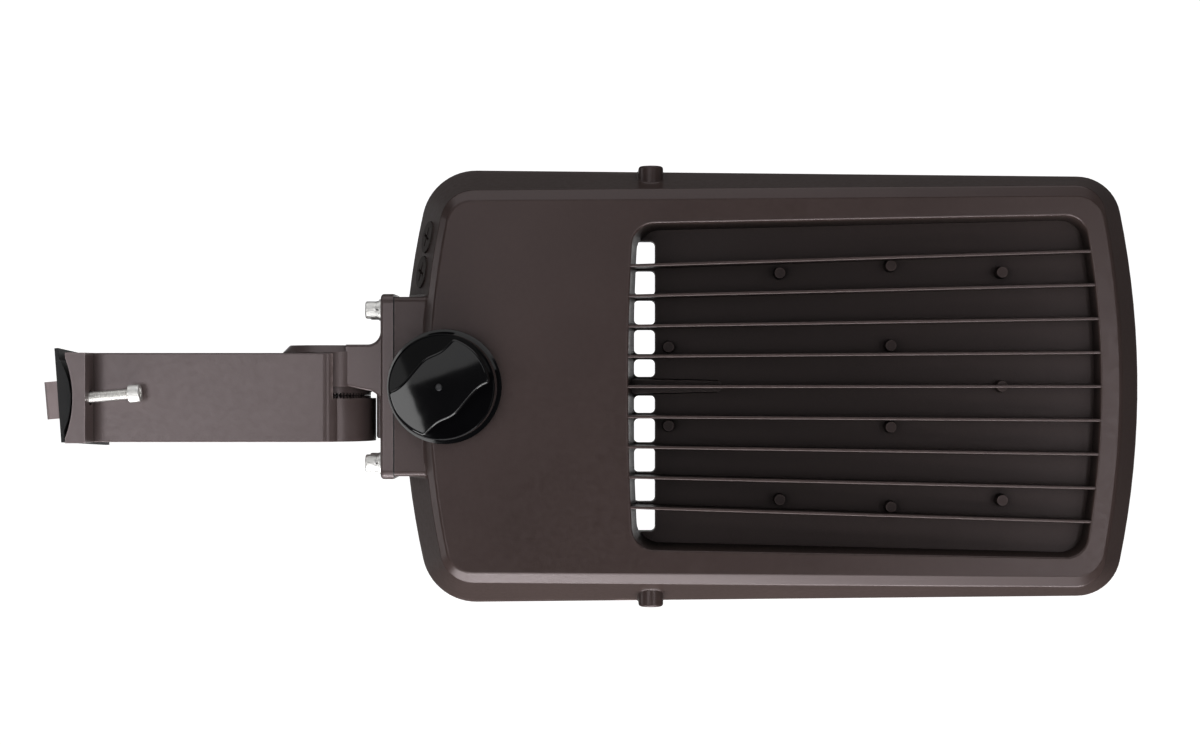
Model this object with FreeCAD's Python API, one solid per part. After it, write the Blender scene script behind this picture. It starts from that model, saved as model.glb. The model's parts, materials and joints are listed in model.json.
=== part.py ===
"""LED area light on a tilting pole arm: a die-cast finned head, a toothed knuckle and a pole clamp.

Millimetres, +Z up. The origin is where the wire hole opens in the middle of the pole seat,
and +X runs from the pole to the far end of the head.
"""
import FreeCAD, Part
import math
import os

V = FreeCAD.Vector
X = V(1, 0, 0)
Y = V(0, 1, 0)
Z = V(0, 0, 1)

# Fits
thread_gap = 0.1          # radial room round a screw in its thread
hole_gap = 0.5            # radial room round a screw in a clearance hole
run_gap = 0.35            # room between faces that move past each other
lug_room = 1.35           # room round the lug in the arm's notch
neck_room = 3.0           # room for the tilting neck under the arm's roof
fit_gap = 0.4             # room round a cover or panel in its seat
sink = 0.5                # depth by which a cast feature is rooted in its wall
past = 5.0                # reach of a cut beyond the face that it opens
socket_share = 0.4        # share of a screw head's height left under its socket

# Pole flange and arm
arm_width = 66.0
arm_height = 82.0
arm_wall = 6.5
arm_end_round = 10.0
arm_edge = 1.0
flange_height = 130.0
flange_back = 9.1         # flange thickness at the middle of its seat
seat_radius = 81.0
seat_chord = 58.4
wire_hole = 8.0
pole_bolt_z = 50.0
pole_bolt_slack = 1.6

# Clamp kit, hanging loose on its two bolts
kit_yaw = 5.0
pad_roll = 3.0
pad_width = 69.0
pad_height = 127.0
pad_plate = 2.7
pad_bulge = 6.6
pad_bulge_radius = 55.0
pad_drop = 3.0
pad_gap = 13.6            # from the middle of the flange to the pad's flange side
pad_bolt_hole = 5.4
bar_width = 27.4
bar_height = 120.0
bar_thick = 9.6
bar_chamfer = 2.0
bar_wire_hole = 10.2
pole_bolt_length = 60.0
pole_bolt_tip = 0.8       # bolt end showing past the nut bar

# Socket-head screws: M8 on the arm and bracket, M10 at the pivot
m8 = 4.0
m8_head = 6.5
m8_head_tall = 8.0
m8_hex = 3.4
m10 = 5.0
m10_head = 8.0
m10_head_tall = 10.0
m10_hex = 4.6
pivot_washer_radius = 8.5
pivot_counterbore = 9.0
nut_flats = 8.5
nut_tall = 8.0
nut_gap = 0.2

# Knuckle
pivot_x = 178.0
knuckle_radius = 35.0
roof_reach = 10.4         # arm roof past the pivot
tooth_count = 72
tooth_tall = 2.0
tooth_inner = 15.0
tooth_outer = 31.0
tooth_fill = 0.94         # share of the pitch that a tooth's root takes
barrel_face = -0.9        # toothed face of the arm's barrel
lug_outer = 38.9
lug_step = 4.6            # toothed hub of the lug beside its full disc
lug_step_radius = 31.6
lug_chamfer = 5.0
neck_start = 16.0         # neck's step, past the pivot
neck_side = 39.4
neck_inner_side = 5.0     # neck's barrel side where it meets the plate's fillet
neck_top = 30.5
neck_fillet = 9.7
neck_edge = 2.0
pivot_recess = 1.0        # pivot bolt's head below the arm's side, and its nut below the lug
wireway = 6.0
wireway_y = 20.0
wireway_z = -16.0
mouth_half = 15.0         # opening from the arm's tunnel to the knuckle
mouth_side = 5.0
mouth_reach = 14.0
tunnel_end = 3.0          # wall between the tunnel and the barrel

# Bracket plate and its joint with the head
plate_x = 219.6
plate_thick = 9.6
plate_width = 138.4
plate_top = 31.0
plate_bottom = -20.0
plate_corner = 7.0
plate_round = 2.5
plate_pad = 4.6           # low boss on the plate beside the barrel
plate_pad_side = 39.0
plate_pad_half = 14.0
plate_pad_round = 2.2
joint_gasket = 1.0
bracket_bolt_y = 57.3
bracket_bolt_z = 15.0
bracket_bolt_length = 25.0
flat_washer = 1.6
spring_washer = 2.1
washer_radius = 8.0
spring_radius = 7.0

# Head outline: rim, foot of the bevel, and crown, each at its near and far end
head_y = 8.0              # head axis, beside the arm's middle plane
rim_z = -20.0
near_arc = 612.0
far_arc = 670.0
rim_near_x = 232.4
rim_far_x = 797.1
rim_half_near = 166.6
rim_half_far = 161.0
rim_corner_near = 42.0
rim_corner_far = 34.0
foot_near_x = 251.5
foot_far_x = 780.5
foot_half_near = 145.8
foot_half_far = 152.6
foot_corner_near = 25.0
foot_corner_far = 24.0
foot_near = 51.0          # heights above the rim
foot_far = 23.0
crown_near_x = 257.3
crown_far_x = 778.0
crown_half_near = 137.8
crown_half_far = 144.2
crown_corner_near = 18.5
crown_corner_far = 22.0
crown_near = 57.0
crown_far = 25.5
wall_rim = 9.0
wall_foot = 4.0
bevel_round = 2.5

# Heat-sink well, fins and vents
well_floor = 14.0
led_ceiling = 9.0
well_near_x = 404.0
well_far_x = 763.0
well_half_near = 121.5
well_half_far = 130.0
well_corner = 17.0
well_near_lean = 5.2
well_lean = 3.0
well_near_arc = 2000.0
mouth_round = 1.6
fin_count = 9
fin_thick = 2.2
fin_pitch_near = 22.55
fin_pitch_far = 25.7
fin_drop = 0.6            # fin tops below the crown
fin_round = 0.9
vent_near_x = 409.2
vent_far_x = 425.3
vent_width = 18.4
vent_corner = 3.5
duct_far_x = 476.0
duct_width = 13.4
duct_tip = 10.0
duct_tall = 12.0
duct_tip_tall = 1.2
duct_top_share = 0.8
duct_bore_up = 0.5        # bore's axis above the well's floor
duct_bore = 3.5
duct_drop_x = 435.5

# Screw bosses on the well floor, by row: distances from the head's axis
boss_first_x = 435.2
boss_pitch = 84.4
boss_rows = ((-30.0, 30.0), (-86.0, 86.0), (-91.5, -31.0, 31.0, 91.5), (-86.5, 0.0, 86.5))
boss_top = 4.0
boss_root = 4.8
boss_tall = 9.0

# Bosses of the door's captive screws, on the head's sides
side_boss_x = 421.8
side_boss_in = 7.2        # in from the head's side at the rim
side_boss_radius = 9.4
side_boss_tall = 29.0
side_boss_proud = 2.3     # past the rim
side_boss_round = 2.0
side_boss_blend = 1.5

# Mount boss on the head's near end
mount_half = 67.0
mount_top = 50.0
mount_depth = 34.0
mount_round = 4.0
mount_blend = 3.0         # round where the mount boss meets the slope

# Selector plugs on the near slope
plug_ins = (80.2, 53.8)   # in from the head's side
plug_height = 27.0
plug_radius = 12.0
plug_head = 3.0
plug_proud = 1.0
plug_shank = 9.6
plug_depth = 10.0
plug_well = 6.0           # room behind the plug's shank
plug_collar = 14.5
plug_collar_sunk = 2.0
plug_slot_width = 2.3
plug_slot_length = 15.0
plug_slot_depth = 2.2
plug_turn = 16.0          # of the cross slot about the plug's axis
oring_thick = 1.2

# Twist-lock receptacle and shorting cap
cap_x = 268.4
pad_radius = 37.0
pad_top = 59.0
receptacle_gasket_thick = 1.5
receptacle_flange = 34.0
receptacle_flange_tall = 5.5
receptacle_body = 25.5
receptacle_top = 76.0
receptacle_hub = 21.5
receptacle_hub_deep = 16.0
receptacle_screw_circle = 29.6
receptacle_screw_deep = 12.0
slot_bottom = 62.0
blade_circle = 17.0
blade_thick = 1.4
blade_bottom = 64.0
blade_root = 84.0
blade_angle = 30.0
blade_places = (90.0, 210.0, 330.0)
twist = 15.0
contact_thick = 0.6
contact_drop = 2.0        # contact's end below the receptacle's top
slot_room = 8.0           # spare angle at a slot's ends
cap_rim = 42.3
cap_rim_tall = 2.4
cap_skirt = 40.6
cap_shoulder = 38.6
cap_edge = 1.5
cap_wall = 3.6
cap_bottom = 61.0
cap_inner_top = 86.0
cap_hub = 27.5
cap_hub_bottom = 79.0
cap_gasket_in = 1.0
cap_shoulder_top = 90.0
band_tall = 24.0
band_radius = 36.3
band_round = 2.0
band_corner = 3.0
band_edge = ((-36.2, -3.0), (-28.4, 0.8), (-22.6, 6.6), (-17.2, 13.2), (-8.8, 21.3),
             (0.6, 25.8), (5.8, 30.2), (10.4, 34.8))
rivet_radius = 2.6
rivet_tall = 0.9
rivet_top = 1.95

# Door under the driver compartment
door_inset = 3.0
door_thick = 2.5
door_gasket_thick = 1.5
door_end_x = 405.0
space_end_x = 399.0
ear_end_x = 432.0
ear_edge = 1.7            # in from the head's side
ear_width = 20.0
ear_root = 10.0
door_boss_x = 263.0
door_boss_in = 58.6       # in from the head's side
door_boss_radius = 5.5
door_boss_top = 36.0
door_panel_x = 273.0
door_panel_inset = 12.0
door_panel_wall = 2.0
door_panel_tall = 1.2
m4 = 2.0
m4_head = 4.0
m4_head_tall = 2.4
m4_head_top = 2.8
m4_hex = 1.2
m4_spare = 3.0            # thread depth past a screw's end
m4_length = 16.0

# Gear carried on the door
driver_x = 358.0
driver_size = (62.0, 176.0, 31.0)
driver_round = 2.5
driver_ear = 9.0
driver_ear_thick = 2.0
driver_ear_hole = 22.0
surge_x = 300.0
surge_y = -62.0
surge_size = (36.0, 54.0, 26.0)
surge_round = 2.0
terminal_x = 300.0
terminal_y = 36.0
terminal_size = (22.0, 46.0, 18.0)
terminal_round = 1.0
terminal_poles = 3
terminal_well = 3.8
terminal_well_x = 6.2
terminal_well_deep = 9.0

# LED engine
led_space_x = 427.5
board_thick = 1.6
board_inset = 6.5
led_size = 3.2
led_tall = 0.8
led_columns = 8
led_rows = 6
led_first_x = 458.0
led_pitch_x = 42.2
led_pitch_y = 37.0
lens_thick = 2.5
lens_bottom = 3.0
lens_pillar = 3.1
lens_cone = 6.5
lens_cone_tip = 4.8
lens_cone_tall = 2.2
seal_inset = 0.8
seal_width = 3.6
lens_screw_length = 14.0


def up(height):
    """Level of a height above the head's rim."""
    return rim_z + height


def box(x0, x1, y0, y1, z0, z1):
    return Part.makeBox(x1 - x0, y1 - y0, z1 - z0, V(x0, y0, z0))


def cylinder(radius, start, direction, length):
    return Part.makeCylinder(radius, length, start, direction)


def ring(inner, outer, start, direction, length):
    return cylinder(outer, start, direction, length).cut(cylinder(inner, start, direction, length))


def fuse(shapes):
    return shapes[0].multiFuse(shapes[1:]).removeSplitter()


def group(shapes):
    return Part.makeCompound(shapes)


def edges_where(shape, test):
    return [edge for edge in shape.Edges if test(edge)]


def level_edges(shape, level):
    """Edges that run along a plane whose level depends on x."""
    def along(edge):
        middle = edge.CenterOfMass
        return abs(middle.z - level(middle.x)) < sink and abs(edge.tangentAt(edge.FirstParameter).z) < 0.3
    return edges_where(shape, along)


def polygon(points):
    return Part.Face(Part.makePolygon(list(points) + [points[0]]))


def hexagon(radius, start, direction, length):
    """Six-sided prism, measured to its flats."""
    corner = radius / math.cos(math.pi / 6)
    points = [V(corner * math.cos(k * math.pi / 3), corner * math.sin(k * math.pi / 3), 0) for k in range(6)]
    prism = polygon(points).extrude(V(0, 0, length))
    prism.Placement = FreeCAD.Placement(start, FreeCAD.Rotation(Z, direction))
    return prism


def socket_screw(radius, head, head_tall, hexagon_flats, start, direction, length):
    """Screw whose head's underside is at start, with its shank along direction."""
    back = direction * -1
    shank = cylinder(radius, start + back * sink, direction, length + sink)
    blank = fuse([cylinder(head, start, back, head_tall), shank])
    return blank.cut(hexagon(hexagon_flats, start + back * (head_tall * socket_share), back, head_tall))


def corner_points(start, end, centre, bow, radius, near):
    """Tangent points and middle of the round between a straight side and a bowed end."""
    along = (end - start).normalize()
    inward = V(along.y, -along.x, 0)
    base = start + inward * radius - centre
    half = base.dot(along)
    reach = math.sqrt(half * half - base.dot(base) + (bow - radius) ** 2)
    middle = centre + base + along * (-half - reach if near else -half + reach)
    on_side = middle - inward * radius
    on_end = centre + (middle - centre).normalize() * bow
    top = middle + ((on_side - middle) + (on_end - middle)).normalize() * radius
    return on_side, top, on_end


def outline(near_x, far_x, half_near, half_far, corner_near, corner_far, bow_near, bow_far):
    """Plan outline: straight tapering sides, bowed ends and rounded corners."""
    start = V(near_x, half_near, 0)
    end = V(far_x, half_far, 0)
    near = corner_points(start, end, V(near_x + bow_near, 0, 0), bow_near, corner_near, True)
    far = corner_points(start, end, V(far_x - bow_far, 0, 0), bow_far, corner_far, False)

    def other(point):
        return V(point.x, -point.y, 0)

    edges = [
        Part.Arc(other(near[2]), V(near_x, 0, 0), near[2]),
        Part.Arc(near[2], near[1], near[0]),
        Part.LineSegment(near[0], far[0]),
        Part.Arc(far[0], far[1], far[2]),
        Part.Arc(far[2], V(far_x, 0, 0), other(far[2])),
        Part.Arc(other(far[2]), other(far[1]), other(far[0])),
        Part.LineSegment(other(far[0]), other(near[0])),
        Part.Arc(other(near[0]), other(near[1]), other(near[2])),
    ]
    return Part.Wire([edge.toShape() for edge in edges])


def sloped(wire, near_x, far_x, near_z, far_z):
    """Lay a plan outline on the plane that falls from near_z to far_z."""
    angle = math.degrees(math.atan((near_z - far_z) / (far_x - near_x)))
    wire.rotate(V(near_x, 0, 0), Y, angle)
    wire.translate(V(0, 0, near_z))
    return wire


def rim_wire(inset, height=0.0):
    wire = outline(rim_near_x + inset, rim_far_x - inset, rim_half_near - inset, rim_half_far - inset,
                   rim_corner_near - inset, rim_corner_far - inset, near_arc, far_arc)
    wire.translate(V(0, 0, up(height)))
    return wire


def foot_wire(inset):
    wire = outline(foot_near_x + inset, foot_far_x - inset, foot_half_near - inset, foot_half_far - inset,
                   foot_corner_near - inset, foot_corner_far - inset, near_arc, far_arc)
    return sloped(wire, foot_near_x, foot_far_x, up(foot_near), up(foot_far))


def crown_wire():
    wire = outline(crown_near_x, crown_far_x, crown_half_near, crown_half_far,
                   crown_corner_near, crown_corner_far, near_arc, far_arc)
    return sloped(wire, crown_near_x, crown_far_x, up(crown_near), up(crown_far))


def crown_level(x):
    share = (x - crown_near_x) / (crown_far_x - crown_near_x)
    return up(crown_near + (crown_far - crown_near) * share)


def foot_level(x):
    share = (x - foot_near_x) / (foot_far_x - foot_near_x)
    return up(foot_near + (foot_far - foot_near) * share)


def rim_side(x):
    """Distance from the head's axis to its side at the rim."""
    share = (x - rim_near_x) / (rim_far_x - rim_near_x)
    return rim_half_near + (rim_half_far - rim_half_near) * share


def plug_ys():
    return [rim_half_near - inset for inset in plug_ins]


def door_ear(side, gap):
    """Ear of the door under a side boss, or with a gap its seat in the rim."""
    outer = rim_side(side_boss_x) - ear_edge
    y0, y1 = sorted((side * (outer - ear_width - gap), side * (outer + gap)))
    return box(door_end_x - ear_root, ear_end_x + gap, y0, y1, rim_z, up(door_thick))


def well_wire(lean_near, lean):
    return outline(well_near_x + lean_near, well_far_x - lean, well_half_near - lean, well_half_far - lean,
                   well_corner, well_corner, well_near_arc, far_arc)


def inner_space():
    """Drafted space inside the head's walls, up to the foot of the bevel."""
    return Part.makeLoft([rim_wire(wall_rim), foot_wire(wall_foot)], True, True)


def rim_plate(inset, low, high, x0, x1):
    """Slice of the head's plan between two heights and two cross planes."""
    face = Part.Face(rim_wire(inset, low))
    slab = box(x0, x1, -rim_half_near, rim_half_near, up(low), up(high))
    return face.extrude(V(0, 0, high - low)).common(slab)


def boss_places():
    return [V(boss_first_x + boss_pitch * row, y, 0) for row, ys in enumerate(boss_rows) for y in ys]


def fin(index):
    """One upright fin between the well's near and far walls."""
    x0 = well_near_x
    x1 = well_far_x + sink
    run = x1 - x0
    shape = polygon([V(x0, 0, up(well_floor) - sink), V(x1, 0, up(well_floor) - sink),
                     V(x1, 0, crown_level(x1) - fin_drop), V(x0, 0, crown_level(x0) - fin_drop)])
    shape = shape.extrude(V(0, fin_thick, 0))
    shape = shape.makeFillet(fin_round, edges_where(
        shape, lambda e: e.Length > run / 2 and e.CenterOfMass.z > up(well_floor)))
    shape.translate(V(0, index * fin_pitch_near - fin_thick / 2, 0))
    shape.rotate(V(x0, index * fin_pitch_near, 0), Z,
                 math.degrees(math.atan(index * (fin_pitch_far - fin_pitch_near) / run)))
    return shape


def vent(y0, y1):
    """Rounded opening between two fins, right through the head."""
    block = box(vent_near_x, vent_far_x, y0, y1, rim_z - past, up(well_floor) + past)
    return block.makeFillet(vent_corner, edges_where(block, lambda e: abs(e.tangentAt(0).z) > 0.9))


def vents():
    half = (fin_count + 1) // 2
    openings = []
    for side in (-1, 1):
        for place in range(half):
            middle = (place + 0.5) * fin_pitch_near
            low = max(middle - vent_width / 2, duct_width / 2 + sink)
            high = middle + vent_width / 2
            openings.append(vent(*sorted((side * low, side * high))))
    return openings


def wire_duct():
    """Sloping cover of the wire passage across the vents, with a rounded end."""
    def section(x, width, height):
        half = width / 2
        narrow = half * duct_top_share
        low = up(well_floor) - sink
        high = up(well_floor + height)
        return Part.makePolygon([V(x, -half, low), V(x, half, low), V(x, narrow, high), V(x, -narrow, high),
                                 V(x, -half, low)])
    ramp = Part.makeLoft([section(well_near_x - sink, duct_width, duct_tall),
                          section(duct_far_x, duct_tip, duct_tip_tall)], True, True)
    end_x = duct_far_x - duct_tip / 2
    low = up(well_floor) - sink
    plan = box(well_near_x - sink, end_x, -duct_width, duct_width, low, up(well_floor + duct_tall))
    return ramp.common(fuse([plan, cylinder(duct_tip / 2, V(end_x, 0, low), Z, duct_tall)]))


def plug_axis(y):
    """Centre and outward direction of a selector plug on the near slope."""
    slope = math.atan((foot_near_x - rim_near_x) / foot_near)
    turn = math.asin(y / near_arc)
    bow = near_arc - near_arc * math.cos(turn)
    place = V(rim_near_x + bow + plug_height * math.tan(slope), y, up(plug_height))
    out = V(-math.cos(slope) * math.cos(turn), math.cos(slope) * math.sin(turn), math.sin(slope))
    return place, out


def bracket_bolt_places():
    middle = (plate_top + plate_bottom) / 2
    return [V(plate_x, y, middle + z) for y in (-bracket_bolt_y, bracket_bolt_y)
            for z in (-bracket_bolt_z, bracket_bolt_z)]


def door_screw_places():
    near = [V(door_boss_x, side * (rim_half_near - door_boss_in), rim_z) for side in (-1, 1)]
    far = [V(side_boss_x, side * (rim_side(side_boss_x) - side_boss_in), rim_z) for side in (-1, 1)]
    return near + far


def receptacle_screw_places():
    return [V(cap_x + side * receptacle_screw_circle, 0, up(pad_top)) for side in (-1, 1)]


def mount_face():
    return plate_x + plate_thick + joint_gasket


def side_boss(place):
    """Round-backed lump on the head's side, over a door screw."""
    out = math.copysign(1, place.y)
    tip = out * (rim_side(side_boss_x) + side_boss_proud)
    root = out * crown_half_near
    middle = up(side_boss_tall) - side_boss_radius
    back = cylinder(side_boss_radius, V(side_boss_x, root, middle), Y * out, abs(tip - root))
    post = box(side_boss_x - side_boss_radius, side_boss_x + side_boss_radius, *sorted((root, tip)),
               rim_z, middle)
    boss = fuse([back, post])
    return boss.makeFillet(side_boss_round, edges_where(
        boss, lambda e: abs(e.CenterOfMass.y - tip) < 0.1 and e.CenterOfMass.z > rim_z + 1))


def make_housing():
    body = Part.makeLoft([rim_wire(0), foot_wire(0), crown_wire()], True, True)
    body = body.makeFillet(bevel_round, level_edges(body, foot_level) + level_edges(body, crown_level))
    mount = box(mount_face(), mount_face() + mount_depth, -mount_half, mount_half, rim_z, up(mount_top))
    mount = mount.makeFillet(mount_round, edges_where(
        mount, lambda e: abs(e.tangentAt(0).x) > 0.9 and e.CenterOfMass.z > up(mount_top) - 1))
    pad = cylinder(pad_radius, V(cap_x, 0, up(foot_far)), Z, pad_top - foot_far)
    side_bosses = [side_boss(place) for place in door_screw_places()[2:]]
    body = fuse([body, mount])
    body = body.makeFillet(mount_blend, edges_where(
        body, lambda e: abs(abs(e.CenterOfMass.y) - mount_half) < 0.1 and e.CenterOfMass.x > mount_face() + 1
        and abs(e.tangentAt(e.FirstParameter).x) < 0.6))
    body = fuse([body, pad] + side_bosses)
    body = body.makeFillet(side_boss_blend, edges_where(
        body, lambda e: abs(e.CenterOfMass.x - side_boss_x) < side_boss_radius + 1
        and crown_half_near < abs(e.CenterOfMass.y) < rim_side(side_boss_x)
        and e.CenterOfMass.z > rim_z + 1 and abs(e.tangentAt(e.FirstParameter).y) < 0.95))

    floor = well_wire(well_near_lean, well_lean)
    floor.translate(V(0, 0, up(well_floor)))
    mouth = sloped(well_wire(0, 0), well_near_x, well_far_x, crown_level(well_near_x), crown_level(well_far_x))
    lip = sloped(well_wire(0, 0), well_near_x, well_far_x,
                 crown_level(well_near_x) + past, crown_level(well_far_x) + past)
    well = Part.makeLoft([floor, mouth, lip], True, True)

    body = body.cut(well)
    body = body.makeFillet(mouth_round, [
        edge for edge in level_edges(body, crown_level)
        if well_near_x - past < edge.CenterOfMass.x < well_far_x + past
        and abs(edge.CenterOfMass.y) < well_half_far + past])

    space = inner_space()
    side = rim_half_near
    driver_space = space.common(box(rim_near_x, space_end_x, -side, side, rim_z, up(crown_near)))
    led_space = space.common(box(led_space_x, rim_far_x, -side, side, rim_z, up(led_ceiling)))
    seat = door_thick + door_gasket_thick
    door_seat = rim_plate(door_inset - fit_gap, 0, seat, rim_near_x, door_end_x + fit_gap)
    ear_seats = [door_ear(hand, fit_gap) for hand in (-1, 1)]
    body = body.cut([driver_space, led_space, door_seat] + ear_seats)

    added = [body, wire_duct()]
    half = fin_count // 2
    added += [fin(index) for index in range(-half, half + 1)]
    for place in boss_places():
        added.append(Part.makeCone(boss_root, boss_top, boss_tall + sink, place + Z * (up(well_floor) - sink)))
    for place in door_screw_places()[:2]:
        foot = place + Z * door_thick
        added.append(cylinder(door_boss_radius, foot, Z, up(door_boss_top) - foot.z))
    for y in plug_ys():
        place, out = plug_axis(y)
        added.append(cylinder(plug_collar, place - out * plug_collar_sunk, out * -1,
                              plug_depth - plug_collar_sunk))
    body = fuse(added)

    holes = vents()
    duct_level = well_floor + duct_bore_up
    holes.append(cylinder(duct_bore, V(space_end_x - past, 0, up(duct_level)), X,
                          duct_drop_x - space_end_x + past))
    holes.append(cylinder(duct_bore, V(duct_drop_x, 0, up(led_ceiling) - past), Z,
                          duct_level - led_ceiling + past))
    for place in boss_places():
        holes.append(cylinder(m4 + thread_gap, place + Z * (up(led_ceiling) - past), Z,
                              lens_screw_deep() + past))
    for place in door_screw_places():
        holes.append(cylinder(m4 + thread_gap, place, Z, m4_length + m4_spare))
    for place in bracket_bolt_places():
        holes.append(cylinder(m8 + thread_gap, place, X, bracket_bolt_length))
    holes.append(cylinder(wireway, V(plate_x, wireway_y - head_y, wireway_z), X, mount_depth + plate_thick))
    holes.append(cylinder(receptacle_hub + fit_gap, V(cap_x, 0, up(foot_far)), Z, pad_top))
    for place in receptacle_screw_places():
        holes.append(cylinder(m4 + thread_gap, place - Z * receptacle_screw_deep, Z,
                              receptacle_screw_deep + past))
    for y in plug_ys():
        place, out = plug_axis(y)
        seat = plug_head + oring_thick
        holes.append(cylinder(plug_radius + fit_gap, place - out * seat, out, seat + past))
        deep = plug_depth + plug_well
        holes.append(cylinder(plug_shank + thread_gap, place - out * deep, out, deep))
    return body.cut(holes)


def make_plugs():
    plugs = []
    rings = []
    for y in plug_ys():
        place, out = plug_axis(y)
        under = place - out * plug_head
        plug = fuse([cylinder(plug_radius, under, out, plug_head + plug_proud),
                     cylinder(plug_shank, place - out * plug_depth, out, plug_depth)])
        across = out.cross(Z).normalize()
        upward = across.cross(out).normalize()
        slots = []
        turn = math.radians(plug_turn)
        first = across * math.cos(turn) + upward * math.sin(turn)
        second = upward * math.cos(turn) - across * math.sin(turn)
        for run, side in ((first, second), (second, first)):
            start = place + out * (plug_proud - plug_slot_depth) - run * (plug_slot_length / 2)
            corners = [start + side * (plug_slot_width / 2), start - side * (plug_slot_width / 2)]
            corners += [corners[1] + run * plug_slot_length, corners[0] + run * plug_slot_length]
            slots.append(polygon(corners).extrude(out * (plug_slot_depth + past)))
        plugs.append(plug.cut(slots))
        rings.append(ring(plug_shank + thread_gap, plug_radius, under - out * oring_thick, out, oring_thick))
    return group(plugs), group(rings)


def make_door():
    plate = rim_plate(door_inset, 0, door_thick, rim_near_x, door_end_x)
    ears = [door_ear(side, 0) for side in (-1, 1)]
    panel_far = space_end_x - door_panel_inset
    inset = wall_rim + door_panel_inset
    panel = rim_plate(inset, door_thick - sink, door_thick + door_panel_tall, door_panel_x, panel_far)
    recess = rim_plate(inset + door_panel_wall, -past, door_panel_tall, door_panel_x + door_panel_wall,
                       panel_far - door_panel_wall)
    door = fuse([plate, panel] + ears).cut(recess)
    holes = [cylinder(m4 + hole_gap, place - Z * past, Z, door_thick + 2 * past)
             for place in door_screw_places()]
    holes += [cylinder(m4 + thread_gap, place, Z, door_thick + past) for place in gear_screw_places()]
    return door.cut(holes)


def gear_floor():
    return up(door_thick + door_panel_tall)


def gear_screw_places():
    """Feet of the screws that hold the driver, surge protector and terminal block to the door."""
    low = up(door_panel_tall)
    places = []
    for side in (-1, 1):
        for x in (driver_x - driver_ear_hole, driver_x + driver_ear_hole):
            places.append(V(x, side * (driver_size[1] + driver_ear) / 2, low))
        places.append(V(surge_x, surge_y + side * (surge_size[1] + driver_ear) / 2, low))
        places.append(V(terminal_x, terminal_y + side * (terminal_size[1] + driver_ear) / 2, low))
    return places


def gear_box(x, y, size, rounding):
    """Potted box on a thin foot plate whose ends stand out as screw ears."""
    length, width, height = size
    base = gear_floor()
    case = box(x - length / 2, x + length / 2, y - width / 2, y + width / 2, base, base + height)
    case = case.makeFillet(rounding, edges_where(case, lambda e: e.CenterOfMass.z > base + 1))
    foot = box(x - length / 2, x + length / 2, y - width / 2 - driver_ear, y + width / 2 + driver_ear,
               base, base + driver_ear_thick)
    holes = [cylinder(m4 + hole_gap, place, Z, door_thick + driver_ear_thick + past)
             for place in gear_screw_places()]
    return fuse([case, foot]).cut(holes)


def make_terminal():
    block = gear_box(terminal_x, terminal_y, terminal_size, terminal_round)
    length, width, height = terminal_size
    pitch = width / terminal_poles
    wells = []
    for pole in range(terminal_poles):
        y = terminal_y - width / 2 + pitch * (pole + 0.5)
        for side in (-1, 1):
            foot = V(terminal_x + side * terminal_well_x, y, gear_floor() + height - terminal_well_deep)
            wells.append(cylinder(terminal_well, foot, Z, height))
    return block.cut(wells)


def m4_screw(head_seat, direction, length):
    """Pan-head screw with its head on head_seat and its shank along direction."""
    head = Part.makeCone(m4_head, m4_head_top, m4_head_tall, head_seat, direction * -1)
    recess = hexagon(m4_hex, head_seat - direction * m4_head_tall * socket_share, direction * -1, m4_head_tall)
    return fuse([head, cylinder(m4, head_seat - direction * sink, direction, length + sink)]).cut(recess)


def make_led_engine():
    space = inner_space()

    far_lean = led_ceiling * (rim_far_x - foot_far_x) / foot_far

    def layer(inset, low, high, lean=0.0):
        edge = wall_rim + inset
        return rim_plate(edge, low, high, led_space_x + inset, rim_far_x - edge - lean)

    board_low = led_ceiling - board_thick
    lens_top = lens_bottom + lens_thick
    board = layer(board_inset, board_low, led_ceiling, far_lean)
    lens = layer(seal_inset, lens_bottom, lens_top).common(space)
    seal_out = layer(seal_inset, lens_top, led_ceiling).common(space)
    seal = seal_out.cut(layer(seal_inset + seal_width, lens_top - past, led_ceiling + past, far_lean))
    pillars = [cylinder(lens_pillar, place + Z * (up(lens_top) - sink), Z, board_low - lens_top + sink)
               for place in boss_places()]
    leds = []
    cones = []
    for column in range(led_columns):
        for row in range(led_rows):
            x = led_first_x + led_pitch_x * column
            y = led_pitch_y * (row - (led_rows - 1) / 2)
            half = led_size / 2
            leds.append(box(x - half, x + half, y - half, y + half, up(board_low - led_tall), up(board_low)))
            cones.append(Part.makeCone(lens_cone, lens_cone_tip, lens_cone_tall + sink,
                                       V(x, y, up(lens_bottom) + sink), Z * -1))
    lens = fuse([lens] + pillars + cones)
    holes = [cylinder(m4 + hole_gap, place + Z * (rim_z - past), Z, led_ceiling + 2 * past)
             for place in boss_places()]
    drop = cylinder(duct_bore, V(duct_drop_x, 0, up(board_low) - past), Z, board_thick + 2 * past)
    screws = [m4_screw(place + Z * up(lens_bottom), Z, lens_screw_length) for place in boss_places()]
    return board.cut(holes + [drop]), group(leds), lens.cut(holes), seal, group(screws)


def lens_screw_deep():
    """Depth of a lens screw's thread above the LED compartment's ceiling."""
    return lens_bottom + lens_screw_length - led_ceiling + m4_spare


def sector(inner, outer, middle, angle, low, high):
    """Upright curved wall about the cap's axis."""
    wedge = Part.makeCylinder(outer, high - low, V(cap_x, 0, low), Z, angle)
    wedge = wedge.cut(cylinder(inner, V(cap_x, 0, low - past), Z, high - low + 2 * past))
    wedge.rotate(V(cap_x, 0, 0), Z, middle - angle / 2)
    return wedge


def blade_shapes():
    half = blade_thick / 2
    return [sector(blade_circle - half, blade_circle + half, place, blade_angle,
                   up(blade_bottom), up(blade_root)) for place in blade_places]


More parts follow.
